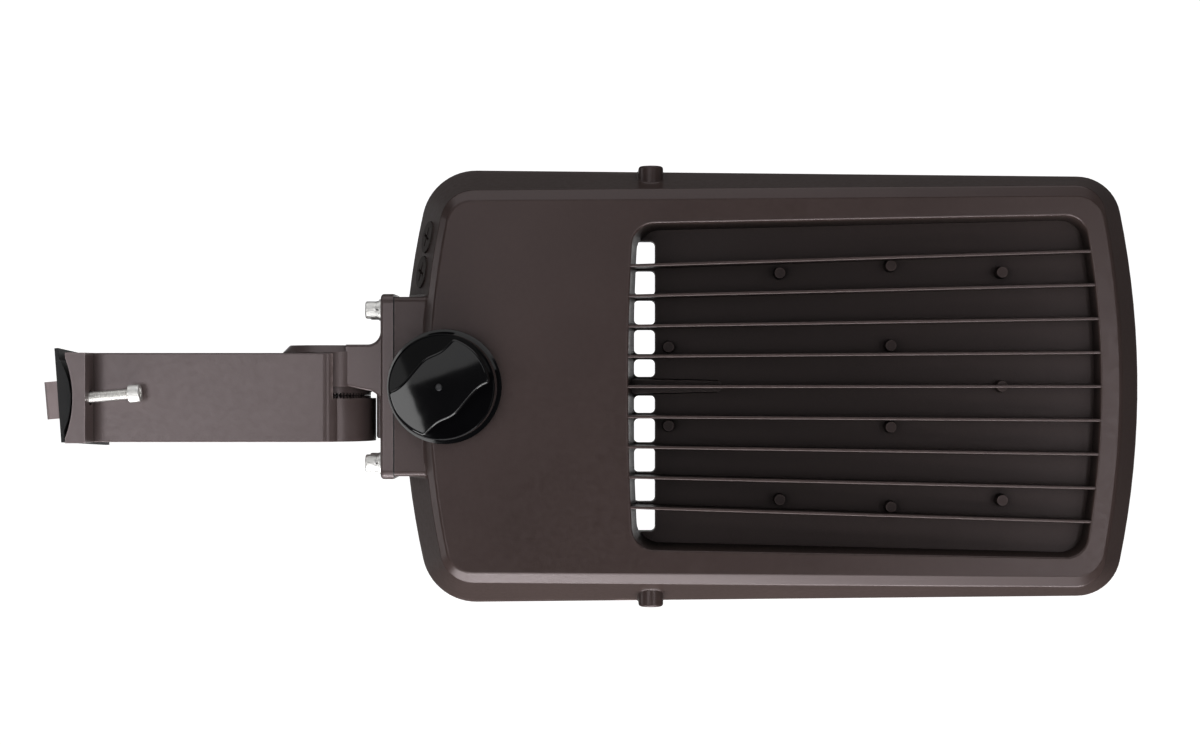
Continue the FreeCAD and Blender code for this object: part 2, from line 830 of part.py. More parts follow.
def make_receptacle():
    base = up(pad_top)
    seat = base + receptacle_gasket_thick
    centre = V(cap_x, 0, seat)
    gasket = ring(receptacle_hub + fit_gap, receptacle_flange, V(cap_x, 0, base), Z, receptacle_gasket_thick)
    body = fuse([cylinder(receptacle_flange, centre, Z, receptacle_flange_tall),
                 cylinder(receptacle_body, centre, Z, up(receptacle_top) - seat),
                 cylinder(receptacle_hub, centre - Z * receptacle_hub_deep, Z, receptacle_hub_deep + sink)])
    slot_half = blade_thick / 2 + run_gap + contact_thick
    span = blade_angle + twist + slot_room
    slots = [sector(blade_circle - slot_half, blade_circle + slot_half, place + twist / 2, span,
                    up(slot_bottom), up(receptacle_top) + past) for place in blade_places]
    inner = blade_circle - slot_half
    contact_top = up(receptacle_top) - contact_drop
    contacts = [sector(inner, inner + contact_thick, place, blade_angle, up(slot_bottom), contact_top)
                for place in blade_places]
    holes = [cylinder(m4 + hole_gap, place - Z * past, Z, receptacle_flange_tall + 3 * past)
             for place in receptacle_screw_places()]
    head_seat = Z * (receptacle_gasket_thick + receptacle_flange_tall)
    screws = [m4_screw(place + head_seat, Z * -1, m4_length) for place in receptacle_screw_places()]
    return body.cut(slots + holes), gasket.cut(holes), group(contacts), group(screws)


def make_cap():
    """Shorting cap: a rimmed, skirted disc with a tall S-edged grip band across it."""
    low = up(cap_bottom)
    top = up(cap_shoulder_top)
    hub_low = up(cap_hub_bottom)
    inner_top = up(cap_inner_top)
    inner = cap_skirt - cap_wall
    profile = [V(0, 0, hub_low), V(cap_hub, 0, hub_low), V(cap_hub, 0, inner_top), V(inner, 0, inner_top),
               V(inner, 0, low), V(cap_rim, 0, low), V(cap_rim, 0, low + cap_rim_tall),
               V(cap_skirt, 0, low + cap_rim_tall), V(cap_shoulder, 0, top), V(0, 0, top)]
    disc = polygon(profile).revolve(V(0, 0, 0), Z, 360)
    disc = disc.makeFillet(cap_edge, edges_where(
        disc, lambda e: e.CenterOfMass.z > top - 0.1 and e.BoundBox.XLength > cap_shoulder))
    upper = [V(x, y, top - sink) for x, y in band_edge]
    lower = [V(-x, -y, top - sink) for x, y in band_edge]
    edges = []
    for points in (upper, lower):
        curve = Part.BSplineCurve()
        curve.interpolate(points)
        edges.append(curve.toShape())
    for first, last in ((lower[-1], upper[0]), (upper[-1], lower[0])):
        outward = V(first.x + last.x, first.y + last.y, 0).normalize()
        edges.append(Part.Arc(first, outward * band_radius + Z * first.z, last).toShape())
    band = Part.Face(Part.Wire(Part.__sortEdges__(edges))).extrude(V(0, 0, band_tall + sink))
    band = band.makeFillet(band_corner, edges_where(band, lambda e: abs(e.tangentAt(e.FirstParameter).z) > 0.9))
    cap = fuse([disc, band])
    cap = cap.makeFillet(band_round, edges_where(cap, lambda e: e.CenterOfMass.z > top + band_tall - 0.1))
    cap.translate(V(cap_x, 0, 0))
    rivet_foot = V(cap_x, 0, top + band_tall)
    cap = cap.cut(blade_shapes())
    gasket_foot = V(cap_x, 0, up(receptacle_top) + run_gap)
    gasket = ring(blade_circle + blade_thick, receptacle_body - cap_gasket_in, gasket_foot, Z,
                  cap_hub_bottom - receptacle_top - run_gap)
    rivet = Part.makeCone(rivet_radius, rivet_top, rivet_tall, rivet_foot)
    return cap, group(blade_shapes()), gasket, rivet


def tooth_ring(face, direction):
    """Radial serrations standing on a face across the pivot."""
    step = 2 * math.pi / tooth_count

    def section(radius):
        half = radius * math.tan(step / 2) * tooth_fill
        return Part.makePolygon([V(half, -sink, radius), V(0, tooth_tall, radius), V(-half, -sink, radius),
                                 V(half, -sink, radius)])
    tooth = Part.makeLoft([section(tooth_inner), section(tooth_outer)], True, True)
    teeth = []
    for index in range(tooth_count):
        turned = tooth.copy()
        turned.rotate(V(0, 0, 0), Y, math.degrees(step) * index)
        if direction < 0:
            turned.rotate(V(0, 0, 0), X, 180)
        turned.translate(V(pivot_x, face, 0))
        teeth.append(turned)
    return teeth


def make_arm():
    half = arm_width / 2
    top = arm_height / 2
    end_x = pivot_x + roof_reach
    flange = box(-seat_depth(), flange_back, -half, half, -flange_height / 2, flange_height / 2)
    flange = flange.cut(cylinder(seat_radius, V(-seat_radius, 0, -flange_height), Z, flange_height * 2))
    beam = box(flange_back - sink, end_x, -half, half, -top, top)
    beam = beam.makeFillet(arm_end_round, edges_where(
        beam, lambda e: abs(e.tangentAt(0).y) > 0.9 and e.CenterOfMass.x > end_x - 1))
    barrel = cylinder(knuckle_radius, V(pivot_x, -half, 0), Y, half + barrel_face)
    room = knuckle_radius + lug_room
    neck_high = knuckle_radius + neck_room
    notch = fuse([cylinder(room, V(pivot_x, barrel_face, 0), Y, arm_width),
                  box(pivot_x, end_x + past, barrel_face, arm_width, -neck_high, neck_high)])
    inside = half - arm_wall
    tunnel_x = pivot_x - knuckle_radius - tunnel_end
    tunnel = box(flange_back, tunnel_x, -inside, inside, arm_wall - top, top - arm_wall)
    mouth = box(tunnel_x - sink, tunnel_x + mouth_reach, mouth_side, inside, -mouth_half, mouth_half)
    beam = beam.makeFillet(arm_edge, edges_where(
        beam, lambda e: abs(e.tangentAt(0).x) > 0.9 and e.Length > pivot_x / 2))
    arm = fuse([flange, beam, barrel]).cut([notch, tunnel, mouth])
    arm = fuse([arm] + tooth_ring(barrel_face, 1))
    side = V(pivot_x, -half - past, 0)
    seat = pivot_head_seat() + flat_washer + run_gap
    through = flange_back + 3 * past
    holes = [cylinder(m10 + thread_gap, side, Y, arm_width),
             cylinder(pivot_counterbore, side, Y, seat - side.y),
             cylinder(wire_hole, V(-2 * past, 0, 0), X, through)]
    holes += [cylinder(m8 + pole_bolt_slack, V(-2 * past, 0, z), X, through)
              for z in (-pole_bolt_z, pole_bolt_z)]
    return arm.cut(holes)


def seat_depth():
    return seat_radius - math.sqrt(seat_radius ** 2 - (seat_chord / 2) ** 2)


def pivot_head_seat():
    return pivot_recess + m10_head_tall - arm_width / 2


def nut_seat():
    return V(pivot_x, lug_outer - nut_tall - pivot_recess, 0)


def lug_face():
    return barrel_face + 2 * tooth_tall + run_gap


def make_bracket():
    plate = box(plate_x, plate_x + plate_thick, head_y - plate_width / 2, head_y + plate_width / 2,
                plate_bottom, plate_top)
    plate = plate.makeFillet(plate_corner, edges_where(plate, lambda e: abs(e.tangentAt(0).x) > 0.9))
    plate = plate.makeFillet(plate_round, edges_where(plate, lambda e: e.BoundBox.XMax < plate_x + 1))
    disc_side = lug_face() + lug_step
    side = neck_inner_side
    foot_x = plate_x + sink
    neck_x = pivot_x + neck_start
    r = neck_fillet
    bend = r * (1 - math.sqrt(0.5))
    edges = [
        Part.LineSegment(V(neck_x, disc_side + sink, 0), V(plate_x - r, side, 0)),
        Part.Arc(V(plate_x - r, side, 0), V(plate_x - bend, side - bend, 0), V(plate_x, side - r, 0)),
        Part.LineSegment(V(plate_x, side - r, 0), V(foot_x, side - r, 0)),
        Part.LineSegment(V(foot_x, side - r, 0), V(foot_x, neck_side + r, 0)),
        Part.LineSegment(V(foot_x, neck_side + r, 0), V(plate_x, neck_side + r, 0)),
        Part.Arc(V(plate_x, neck_side + r, 0), V(plate_x - bend, neck_side + bend, 0),
                 V(plate_x - r, neck_side, 0)),
        Part.LineSegment(V(plate_x - r, neck_side, 0), V(neck_x, neck_side, 0)),
        Part.LineSegment(V(neck_x, neck_side, 0), V(neck_x, disc_side + sink, 0)),
    ]
    neck = Part.Face(Part.Wire([edge.toShape() for edge in edges]))
    neck_bottom = plate_bottom + plate_round
    neck.translate(V(0, 0, neck_bottom))
    neck = neck.extrude(V(0, 0, neck_top - neck_bottom))
    neck = neck.makeFillet(neck_edge, edges_where(
        neck, lambda e: abs(e.tangentAt(e.FirstParameter).z) < 0.1 and neck_x + 1 < e.CenterOfMass.x < plate_x))
    lug = cylinder(knuckle_radius, V(pivot_x, disc_side, 0), Y, lug_outer - disc_side)
    lug = lug.makeChamfer(lug_chamfer, edges_where(
        lug, lambda e: len(e.Vertexes) == 1 and e.CenterOfMass.y > lug_outer - 1))
    hub = cylinder(lug_step_radius, V(pivot_x, lug_face(), 0), Y, lug_step + sink)
    low_boss = box(plate_x - plate_pad, foot_x, head_y - plate_pad_side, side, -plate_pad_half, plate_pad_half)
    low_boss = low_boss.makeFillet(plate_pad_round, edges_where(low_boss, lambda e: e.BoundBox.XMax < plate_x))
    bracket = fuse([plate, neck, lug, hub, low_boss])
    bracket = fuse([bracket] + tooth_ring(lug_face(), -1))
    holes = [cylinder(m10 + thread_gap, V(pivot_x, -arm_width, 0), Y, 2 * arm_width),
             hexagon(nut_flats + nut_gap, nut_seat(), Y, nut_tall + pivot_recess + past),
             cylinder(wireway, V(0, wireway_y, wireway_z), X, rim_far_x)]
    holes += [cylinder(m8 + hole_gap, place + Y * head_y - X * past, X, plate_thick + 2 * past)
              for place in bracket_bolt_places()]
    return bracket.cut(holes)


def make_pivot_set():
    head_seat = pivot_head_seat()
    bolt = socket_screw(m10, m10_head, m10_head_tall, m10_hex, V(pivot_x, head_seat, 0), Y,
                        lug_outer - pivot_recess - head_seat)
    washer = ring(m10 + thread_gap, pivot_washer_radius, V(pivot_x, head_seat, 0), Y, flat_washer)
    nut = hexagon(nut_flats, nut_seat(), Y, nut_tall)
    nut = nut.cut(cylinder(m10 + thread_gap / 2, V(pivot_x, 0, 0), Y, arm_width))
    return bolt, washer, nut


def make_bracket_joint():
    gasket = box(plate_x + plate_thick, mount_face(), -mount_half, mount_half, rim_z, up(mount_top))
    gasket = gasket.makeFillet(mount_round, edges_where(
        gasket, lambda e: abs(e.tangentAt(0).x) > 0.9 and e.CenterOfMass.z > up(mount_top) - 1))
    holes = [cylinder(wireway, V(plate_x, wireway_y - head_y, wireway_z), X, plate_thick + past)]
    bolts = []
    springs = []
    flats = []
    stack = flat_washer + spring_washer
    for place in bracket_bolt_places():
        holes.append(cylinder(m8 + hole_gap, place, X, plate_thick + past))
        bolts.append(socket_screw(m8, m8_head, m8_head_tall, m8_hex, place - X * stack, X, bracket_bolt_length))
        flats.append(ring(m8 + thread_gap, washer_radius, place - X * flat_washer, X, flat_washer))
        springs.append(ring(m8 + thread_gap, spring_radius, place - X * stack, X, spring_washer))
    return gasket.cut(holes), group(bolts), group(springs), group(flats)


def make_clamp_kit():
    """Pole pad, nut bar and bolts, modelled square and then turned as they hang."""
    middle = V(flange_back / 2, 0, 0)
    near = -pad_gap
    far = near - pad_plate
    half = pad_width / 2
    plate = box(far, near, -half, half, -pad_height / 2, pad_height / 2)
    crown = near + pad_bulge - pad_bulge_radius
    bulge = cylinder(pad_bulge_radius, V(crown, 0, -pad_height / 2), Z, pad_height)
    bulge = bulge.common(box(near - sink, near + pad_bulge + 1, -half, half, -pad_height / 2, pad_height / 2))
    pad = fuse([plate, bulge])
    pad.rotate(V(0, 0, 0), X, -pad_roll)
    pad.translate(V(0, 0, -pad_drop))
    bar = box(far - bar_thick, far, -bar_width / 2, bar_width / 2, -bar_height / 2, bar_height / 2)
    bar = bar.makeChamfer(bar_chamfer, edges_where(
        bar, lambda e: e.BoundBox.XMax < far - 1 and abs(e.tangentAt(0).y) > 0.9))
    places = [V(0, 0, side * pole_bolt_z) for side in (-1, 1)]
    start = X * -pole_bolt_length
    wire = cylinder(bar_wire_hole, start, X, pole_bolt_length)
    pad = pad.cut([cylinder(pad_bolt_hole, place + start, X, pole_bolt_length) for place in places] + [wire])
    bar = bar.cut([cylinder(m8 + thread_gap, place + start, X, pole_bolt_length) for place in places] + [wire])
    tip = far - bar_thick - pole_bolt_tip
    bolts = group([socket_screw(m8, m8_head, m8_head_tall, m8_hex, place + X * (tip + pole_bolt_length), X * -1,
                                pole_bolt_length) for place in places])
    kit = [pad, bar, bolts]
    for shape in kit:
        shape.rotate(V(0, 0, 0), Z, kit_yaw)
        shape.translate(middle)
    return kit


def head_nodes():
    """Nodes modelled about the head's own axis."""
    plugs, orings = make_plugs()
    board, leds, lens, seal, lens_screws = make_led_engine()
    receptacle, receptacle_gasket, contacts, receptacle_screws = make_receptacle()
    cap, blades, cap_gasket, rivet = make_cap()
    joint, bolts, springs, flats = make_bracket_joint()
    seat = door_thick + door_gasket_thick
    door_gasket = rim_plate(door_inset, door_thick, seat, rim_near_x, door_end_x).cut(
        rim_plate(wall_rim, door_thick - past, seat + past, rim_near_x, space_end_x))
    door_screws = group([m4_screw(place, Z, m4_length) for place in door_screw_places()])
    gear_screws = group([m4_screw(place + Z * (door_thick + driver_ear_thick), Z * -1,
                                  door_thick + driver_ear_thick) for place in gear_screw_places()])
    return {
        "housing": make_housing(),
        "selector_plugs": plugs,
        "selector_orings": orings,
        "driver_door": make_door(),
        "door_gasket": door_gasket,
        "door_screws": door_screws,
        "led_driver": gear_box(driver_x, 0, driver_size, driver_round),
        "surge_protector": gear_box(surge_x, surge_y, surge_size, surge_round),
        "terminal_block": make_terminal(),
        "gear_screws": gear_screws,
        "led_board": board,
        "leds": leds,
        "lens_panel": lens,
        "lens_seal": seal,
        "lens_screws": lens_screws,
        "receptacle": receptacle,
        "receptacle_gasket": receptacle_gasket,
        "receptacle_contacts": contacts,
        "receptacle_screws": receptacle_screws,
        "shorting_cap": cap,
        "cap_blades": blades,
        "cap_gasket": cap_gasket,
        "cap_rivet": rivet,
        "bracket_gasket": joint,
        "bracket_bolts": bolts,
        "bracket_spring_washers": springs,
        "bracket_flat_washers": flats,
    }


def arm_nodes():
    """Nodes modelled about the arm's middle plane."""
    pivot_bolt, pivot_washer, pivot_nut = make_pivot_set()
    pad, bar, bolts = make_clamp_kit()
    return {
        "arm": make_arm(),
        "knuckle_bracket": make_bracket(),
        "pivot_bolt": pivot_bolt,
        "pivot_washer": pivot_washer,
        "pivot_nut": pivot_nut,
        "pole_pad": pad,
        "nut_bar": bar,
        "pole_bolts": bolts,
    }


def main():
    os.makedirs("parts", exist_ok=True)
    nodes = head_nodes()
    for shape in nodes.values():
        shape.translate(V(0, head_y, 0))
    nodes.update(arm_nodes())
    for name, shape in nodes.items():
        shape.exportStep("parts/" + name + ".step")
        print(name, len(shape.Solids), shape.isValid(), round(shape.Volume))


main()
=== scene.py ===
"""Looks of the LED area light: bronze powder coat, glossy cap, bright bolts, clear optics and a white studio."""
import bpy
import json
import math
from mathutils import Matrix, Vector

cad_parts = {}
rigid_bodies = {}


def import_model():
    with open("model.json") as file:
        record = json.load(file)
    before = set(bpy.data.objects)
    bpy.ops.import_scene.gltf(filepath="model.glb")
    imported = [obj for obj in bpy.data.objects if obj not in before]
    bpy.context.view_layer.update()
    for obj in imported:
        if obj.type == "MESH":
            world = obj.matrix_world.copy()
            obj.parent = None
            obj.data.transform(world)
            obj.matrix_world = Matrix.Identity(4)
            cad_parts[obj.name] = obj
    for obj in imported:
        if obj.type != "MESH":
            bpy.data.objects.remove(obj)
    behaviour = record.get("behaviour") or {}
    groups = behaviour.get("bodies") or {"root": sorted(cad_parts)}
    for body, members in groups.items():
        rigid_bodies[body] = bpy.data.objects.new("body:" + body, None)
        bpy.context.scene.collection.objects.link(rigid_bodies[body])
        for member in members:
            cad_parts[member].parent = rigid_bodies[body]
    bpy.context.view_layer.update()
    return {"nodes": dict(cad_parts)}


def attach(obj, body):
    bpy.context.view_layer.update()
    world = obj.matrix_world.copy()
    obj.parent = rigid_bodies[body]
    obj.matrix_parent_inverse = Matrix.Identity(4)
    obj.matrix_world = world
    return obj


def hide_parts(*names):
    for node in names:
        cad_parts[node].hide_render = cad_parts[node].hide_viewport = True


for startup in list(bpy.data.objects):
    bpy.data.objects.remove(startup)
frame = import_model()
nodes = frame["nodes"]
mm = 0.001

# Sizes repeated from the part, in millimetres, and the turn of the pole bolts' kit
kit_yaw = math.radians(5.0)
clamp_middle = Vector((4.55, 0.0, 0.0))
pole_bolt_seat = 33.3
pole_bolt_z = 50.0
bracket_plate_x = 219.6
bracket_bolt_ys = (-49.3, 65.3)
bracket_bolt_zs = (-9.5, 20.5)
flat_washer = 1.6
spring_washer = 2.1
cap_shoulder = 70.0
led_first = Vector((458.0, -84.5, -12.6))
led_columns = 8
led_rows = 6
led_pitch_x = 42.2
led_pitch_y = 37.0

# Sizes of the scene's own bolts, in millimetres
pole_shank = 60
bracket_shank = 25

# Shared by the finishes
noise_low, noise_high = 0.3, 0.7    # most of a noise's values lie between these
rough_swing = 0.08                  # roughness either side of its middle
occlusion_rays = 4                    # samples that look for recesses and edges

# Shared by the geometry trees
number = "NodeSocketFloat"
sharp_angle = math.radians(35)

# The camera and the studio, in metres; the lens in millimetres
photo_x, photo_y, photo_height = 0.3832, 0.0185, 1.480
photo_lens, photo_sensor = 58.44, 36.0
floor_level = -3.0
floor_half = 60.0
floor_white = 0.93
pool_half = (1.43, 0.888)
pool_square = 16.0                  # how square the pool's corners are
pool_fade = 2.6                     # where the pool has faded out; its full part ends at 1
surround_white = 0.97


def put(tree, kind, inputs=(), **settings):
    """Add a node, set its options, and link or set its inputs."""
    made = tree.nodes.new(kind)
    for key, value in settings.items():
        setattr(made, key, value)
    for key, value in dict(inputs).items():
        if isinstance(value, bpy.types.NodeSocket):
            tree.links.new(value, made.inputs[key])
        else:
            made.inputs[key].default_value = value
    return made


def calc(tree, operation, first, second=0.0, third=0.0):
    """One step of arithmetic."""
    return put(tree, "ShaderNodeMath", {0: first, 1: second, 2: third}, operation=operation).outputs[0]


def grain(tree, place, size, detail=2.0, stretch=(1, 1, 1)):
    """Noise whose features are about size millimetres across."""
    scaled = put(tree, "ShaderNodeMapping", {"Vector": place, "Scale": [v / (size * mm) for v in stretch]})
    noise = put(tree, "ShaderNodeTexNoise", {"Vector": scaled.outputs[0], "Scale": 1.0, "Detail": detail})
    return noise.outputs["Fac"]


def spread(tree, value, low, high, out_low, out_high):
    """Carry a value from one range to another, held at the ends."""
    return put(tree, "ShaderNodeMapRange", {
        "Value": value, "From Min": low, "From Max": high, "To Min": out_low, "To Max": out_high}).outputs[0]


def blend_colour(tree, value, dark, light):
    """Mix two colours, each fixed or from another node."""
    made = put(tree, "ShaderNodeMix", data_type="RGBA")
    tree.links.new(value, made.inputs[0])
    for socket, colour in ((made.inputs[6], dark), (made.inputs[7], light)):
        if isinstance(colour, bpy.types.NodeSocket):
            tree.links.new(colour, socket)
        else:
            socket.default_value = (*colour, 1)
    return made.outputs[2]


def finish(name, **sockets):
    """A fresh material: its tree, its shader and the Object coordinates its patterns read."""
    material = bpy.data.materials.new(name)
    material.use_nodes = True
    tree = material.node_tree
    shader = tree.nodes["Principled BSDF"]
    for key, value in sockets.items():
        shader.inputs[key.replace("_", " ")].default_value = value
    place = put(tree, "ShaderNodeTexCoord").outputs["Object"]
    return material, tree, shader, place


def relief(tree, shader, height, depth, strength=1.0):
    """Fine texture, depth millimetres deep."""
    bump = put(tree, "ShaderNodeBump", {"Height": height, "Distance": depth * mm, "Strength": strength})
    tree.links.new(bump.outputs[0], shader.inputs["Normal"])


def rubbed_and_highlit_edges(tree, reach, patches):
    """Share of rubbing and of painted highlight along outside edges, found from inside the wall and broken up by
    patches.
    """
    flat, keen, least = 0.80, 0.35, 0.35
    inside = put(tree, "ShaderNodeAmbientOcclusion", {"Distance": reach * mm}, samples=occlusion_rays, inside=True,
                 only_local=True)
    edge = spread(tree, inside.outputs["AO"], flat, keen, 0, 1)
    return calc(tree, "MULTIPLY", edge, spread(tree, patches, 0.35, 0.65, least, 1))


def powder_coat(name, dark, light, rubbed_and_highlit, sand, depth, rough, shine, shade_reach):
    """Textured bronze coat on a casting: drift in tone, fine sand, painted shade (a darker, duller coat) in recesses
    and paler edges, partly rubbing and partly painted highlight.

    The sand's size, its depth and the shade reach, how near a wall has to be for the painted shade, are in
    millimetres.
    """
    drift_size, mottle_grains, rub_and_highlight_reach = 90, 7, 1.6
    drift_share, fine_share, mottle_share = 0.5, 0.3, 0.2
    # Painted shade: in recesses the coat darkens towards this colour and loses shine, standing in for the shade that
    # falls there
    painted_shade_colour, shaded_shine, unshaded_shine = (0.018, 0.0152, 0.0140), 0.3, 0.7
    shaded_dulls, rubbing_dulls = 0.25, -0.1
    material, tree, shader, place = finish(name, Specular_Tint=(1.0, 0.88, 0.91, 1))
    drift = grain(tree, place, drift_size, 3)
    fine = grain(tree, place, sand, 3)
    mottle = grain(tree, place, sand * mottle_grains, 2)
    tone = calc(tree, "MULTIPLY_ADD", fine, fine_share, calc(tree, "MULTIPLY", mottle, mottle_share))
    tone = calc(tree, "MULTIPLY_ADD", drift, drift_share, tone)
    coat = blend_colour(tree, spread(tree, tone, 0.32, 0.68, 0, 1), dark, light)
    # Painted shade in recesses: the nearer the walls, the darker and duller the coat
    around = put(tree, "ShaderNodeAmbientOcclusion", {"Distance": shade_reach * mm}, samples=occlusion_rays)
    unshaded = spread(tree, around.outputs["AO"], 0.20, 0.70, 0, 1)
    coat = blend_colour(tree, unshaded, painted_shade_colour, coat)
    gloss = calc(tree, "MULTIPLY_ADD", unshaded, shine * unshaded_shine, shine * shaded_shine)
    tree.links.new(gloss, shader.inputs["Specular IOR Level"])
    # Paler edges: partly rubbing, partly a painted highlight standing in for the light lines that catch on edges and
    # fin tops
    worn_and_highlit = rubbed_and_highlit_edges(tree, rub_and_highlight_reach, mottle)
    tree.links.new(blend_colour(tree, worn_and_highlit, coat, rubbed_and_highlit), shader.inputs["Base Color"])
    sheen = spread(tree, mottle, noise_low, noise_high, rough[0], rough[1])
    sheen = calc(tree, "ADD", sheen, spread(tree, unshaded, 0, 1, shaded_dulls, 0))
    tree.links.new(calc(tree, "MULTIPLY_ADD", worn_and_highlit, rubbing_dulls, sheen), shader.inputs["Roughness"])
    relief(tree, shader, fine, depth)
    return material


def turned_steel(name):
    """Bright stainless steel with fine turning lines across the bolts' axes."""
    material, tree, shader, place = finish(name, Metallic=1.0)
    lines = grain(tree, place, 0.35, 2, stretch=(1, 0.04, 0.04))
    stain = grain(tree, place, 5, 3)
    tree.links.new(blend_colour(tree, stain, (0.84, 0.83, 0.81), (0.95, 0.94, 0.92)), shader.inputs["Base Color"])
    tree.links.new(spread(tree, lines, noise_low, noise_high, 0.38, 0.54), shader.inputs["Roughness"])
    relief(tree, shader, lines, 0.01)
    return material


def gloss_plastic(name, shoulder):
    """Moulded black plastic: near mirror gloss with faint flow marks, duller on flats at the shoulder's height."""
    full_shine, shoulder_shine = 0.5, 0.08
    material, tree, shader, place = finish(name)
    level = put(tree, "ShaderNodeSeparateXYZ", {0: place}).outputs[2]
    below = spread(tree, level, (shoulder - 2) * mm, (shoulder - 0.5) * mm, full_shine, shoulder_shine)
    above = spread(tree, level, (shoulder + 0.5) * mm, (shoulder + 3) * mm, shoulder_shine, full_shine)
    tree.links.new(calc(tree, "MAXIMUM", below, above), shader.inputs["Specular IOR Level"])
    flow = grain(tree, place, 26, 2)
    rub = grain(tree, place, 0.6, 4, stretch=(1, 0.12, 1))
    dull = calc(tree, "MULTIPLY_ADD", flow, 0.10, calc(tree, "MULTIPLY", rub, 0.10))
    black = blend_colour(tree, flow, (0.0020, 0.0020, 0.0024), (0.0036, 0.0036, 0.0042))
    tree.links.new(black, shader.inputs["Base Color"])
    tree.links.new(spread(tree, dull, 0.05, 0.15, 0.02, 0.04), shader.inputs["Roughness"])
    relief(tree, shader, flow, 0.03, 0.4)
    return material


def moulded(name, dark, light, rough, pore, depth):
    """Plain moulded plastic or rubber with a fine spark-eroded texture."""
    material, tree, shader, place = finish(name)
    fine = grain(tree, place, pore, 3)
    drift = grain(tree, place, pore * 30, 2)
    tone = calc(tree, "MULTIPLY_ADD", fine, 0.4, calc(tree, "MULTIPLY", drift, 0.6))
    tree.links.new(blend_colour(tree, tone, dark, light), shader.inputs["Base Color"])
    dull = spread(tree, fine, noise_low, noise_high, rough - rough_swing, rough + rough_swing)
    tree.links.new(dull, shader.inputs["Roughness"])
    relief(tree, shader, fine, depth)
    return material


def metal_sheet(name, dark, light, rough):
    """Rolled sheet with straight drawing lines."""
    material, tree, shader, place = finish(name, Metallic=1.0)
    lines = grain(tree, place, 0.5, 2, stretch=(1, 0.02, 1))
    tree.links.new(blend_colour(tree, lines, dark, light), shader.inputs["Base Color"])
    dull = spread(tree, lines, noise_low, noise_high, rough - rough_swing, rough + rough_swing)
    tree.links.new(dull, shader.inputs["Roughness"])
    relief(tree, shader, lines, 0.02)
    return material


def white_board(name):
    """White solder mask over copper tracks that show as faint raised bars."""
    material, tree, shader, place = finish(name, Roughness=0.42)
    scaled = put(tree, "ShaderNodeMapping", {"Vector": place, "Location": (0.2, 0.15, 0)})
    tracks = put(tree, "ShaderNodeTexBrick", {"Vector": scaled.outputs[0], "Scale": 1.0, "Mortar Size": 0.0006,
                                              "Brick Width": led_pitch_x * mm, "Row Height": led_pitch_y * mm / 2})
    speck = grain(tree, place, 1.5, 3)
    mask = blend_colour(tree, speck, (0.76, 0.77, 0.75), (0.83, 0.84, 0.82))
    tree.links.new(blend_colour(tree, tracks.outputs["Fac"], mask, (0.70, 0.66, 0.58)), shader.inputs["Base Color"])
    relief(tree, shader, tracks.outputs["Fac"], 0.05)
    return material


def clear_lens(name):
    """Clear polycarbonate with a faint moulding ripple."""
    material, tree, shader, place = finish(name, Transmission_Weight=1.0, IOR=1.58, Base_Color=(0.95, 0.97, 0.98, 1))
    ripple = grain(tree, place, 18, 2)
    tree.links.new(spread(tree, ripple, noise_low, noise_high, 0.03, 0.09), shader.inputs["Roughness"])
    relief(tree, shader, ripple, 0.04, 0.5)
    return material


def phosphor(name):
    """Yellow phosphor gel over the chips."""
    material, tree, shader, place = finish(name, Subsurface_Weight=0.2, Subsurface_Radius=(0.001, 0.001, 0.0005))
    grit = grain(tree, place, 0.25, 3)
    tree.links.new(blend_colour(tree, grit, (0.78, 0.52, 0.05), (0.90, 0.68, 0.12)), shader.inputs["Base Color"])
    tree.links.new(spread(tree, grit, noise_low, noise_high, 0.25, 0.4), shader.inputs["Roughness"])
    return material


# Each coat's third colour is its paler edge, partly rubbing and partly painted highlight; its last number is how
# far, in millimetres, the painted shade reaches into recesses
finishes = {
    "bronze_cast": powder_coat("bronze_cast", (0.0362, 0.0234, 0.0208), (0.0506, 0.0336, 0.0304),
                               (0.150, 0.112, 0.106), 0.55, 0.014, (0.28, 0.35), 0.50, 40),
    "bronze_arm": powder_coat("bronze_arm", (0.056, 0.0400, 0.0380), (0.076, 0.0560, 0.0540),
                              (0.180, 0.140, 0.135), 0.75, 0.026, (0.28, 0.32), 0.68, 8),
    "stainless": turned_steel("stainless"),
    "black_plastic": gloss_plastic("black_plastic", cap_shoulder),
    "plug_plastic": moulded("plug_plastic", (0.020, 0.014, 0.012), (0.034, 0.024, 0.021), 0.5, 0.4, 0.02),
    "black_rubber": moulded("black_rubber", (0.008, 0.008, 0.009), (0.018, 0.018, 0.019), 0.62, 0.5, 0.05),
    "silicone": moulded("silicone", (0.30, 0.30, 0.29), (0.40, 0.40, 0.39), 0.55, 0.8, 0.03),
    "brass": metal_sheet("brass", (0.62, 0.42, 0.13), (0.78, 0.56, 0.22), 0.28),
    "driver_case": metal_sheet("driver_case", (0.42, 0.42, 0.43), (0.58, 0.58, 0.59), 0.40),
    "terminal_plastic": moulded("terminal_plastic", (0.50, 0.50, 0.47), (0.60, 0.60, 0.57), 0.45, 0.4, 0.02),
    "board": white_board("board"),
    "led_phosphor": phosphor("led_phosphor"),
    "lens": clear_lens("lens"),
}
ceramic = moulded("led_ceramic", (0.70, 0.70, 0.68), (0.78, 0.78, 0.76), 0.5, 0.2, 0.01)
for node in nodes.values():
    for index, old in enumerate(node.data.materials):
        node.data.materials[index] = finishes[old.name.split(".")[0]]
nodes["knuckle_bracket"].data.materials[0] = finishes["bronze_arm"]
